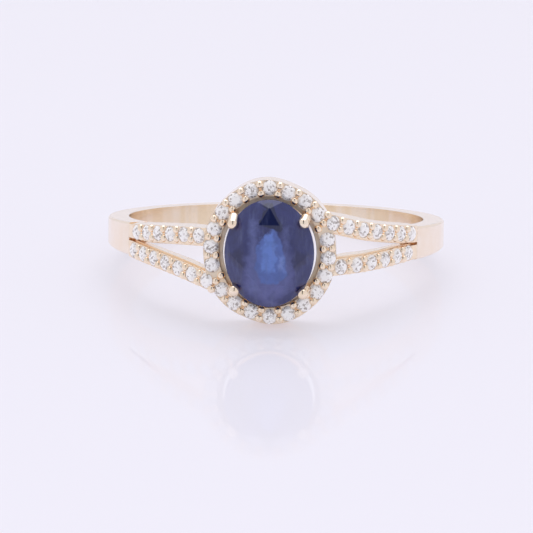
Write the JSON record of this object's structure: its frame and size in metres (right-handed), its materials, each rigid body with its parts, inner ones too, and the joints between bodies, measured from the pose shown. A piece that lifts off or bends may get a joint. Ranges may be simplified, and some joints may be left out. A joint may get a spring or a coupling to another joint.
{
  "type": "engagement ring",
  "caption": "Gold finger ring with an oval sapphire in four ball-tipped prongs, a diamond halo and split diamond-set shoulders on a plain tapering band.",
  "frame": {"origin": "centre of the finger hole, in the middle of the band's width", "axes": "+Z along the finger, -Y out through the head and the centre stone, +X to the right when looking at the head"},
  "size_m": [0.0197, 0.0221, 0.008],
  "materials": {
    "band_gold": "polished yellow gold",
    "setting_gold": "polished yellow gold with raised beads",
    "prong_gold": "polished yellow gold",
    "sapphire": "faceted dark blue gem",
    "diamond": "faceted colourless gem"
  },
  "bodies": {
    "root": {"shank_hoop": "band_gold", "upper_right_shoulder": "setting_gold", "lower_right_shoulder": "setting_gold", "upper_left_shoulder": "setting_gold", "lower_left_shoulder": "setting_gold", "halo_frame": "setting_gold", "seat_rail": "setting_gold", "base_rail": "setting_gold", "upper_left_prong": "prong_gold", "upper_right_prong": "prong_gold", "lower_right_prong": "prong_gold", "lower_left_prong": "prong_gold", "sapphire": "sapphire", "halo_diamond_01": "diamond", "halo_diamond_02": "diamond", "halo_diamond_03": "diamond", "halo_diamond_04": "diamond", "halo_diamond_05": "diamond", "halo_diamond_06": "diamond", "halo_diamond_07": "diamond", "halo_diamond_08": "diamond", "halo_diamond_09": "diamond", "halo_diamond_10": "diamond", "halo_diamond_11": "diamond", "halo_diamond_12": "diamond", "halo_diamond_13": "diamond", "halo_diamond_14": "diamond", "halo_diamond_15": "diamond", "halo_diamond_16": "diamond", "halo_diamond_17": "diamond", "halo_diamond_18": "diamond", "halo_diamond_19": "diamond", "halo_diamond_20": "diamond", "upper_right_diamond_1": "diamond", "upper_right_diamond_2": "diamond", "upper_right_diamond_3": "diamond", "upper_right_diamond_4": "diamond", "upper_right_diamond_5": "diamond", "upper_right_diamond_6": "diamond", "upper_right_diamond_7": "diamond", "lower_left_diamond_1": "diamond", "lower_left_diamond_2": "diamond", "lower_left_diamond_3": "diamond", "lower_left_diamond_4": "diamond", "lower_left_diamond_5": "diamond", "lower_left_diamond_6": "diamond", "lower_left_diamond_7": "diamond", "lower_right_diamond_1": "diamond", "lower_right_diamond_2": "diamond", "lower_right_diamond_3": "diamond", "lower_right_diamond_4": "diamond", "lower_right_diamond_5": "diamond", "lower_right_diamond_6": "diamond", "upper_left_diamond_1": "diamond", "upper_left_diamond_2": "diamond", "upper_left_diamond_3": "diamond", "upper_left_diamond_4": "diamond", "upper_left_diamond_5": "diamond", "upper_left_diamond_6": "diamond"}
  },
  "joints": []
}
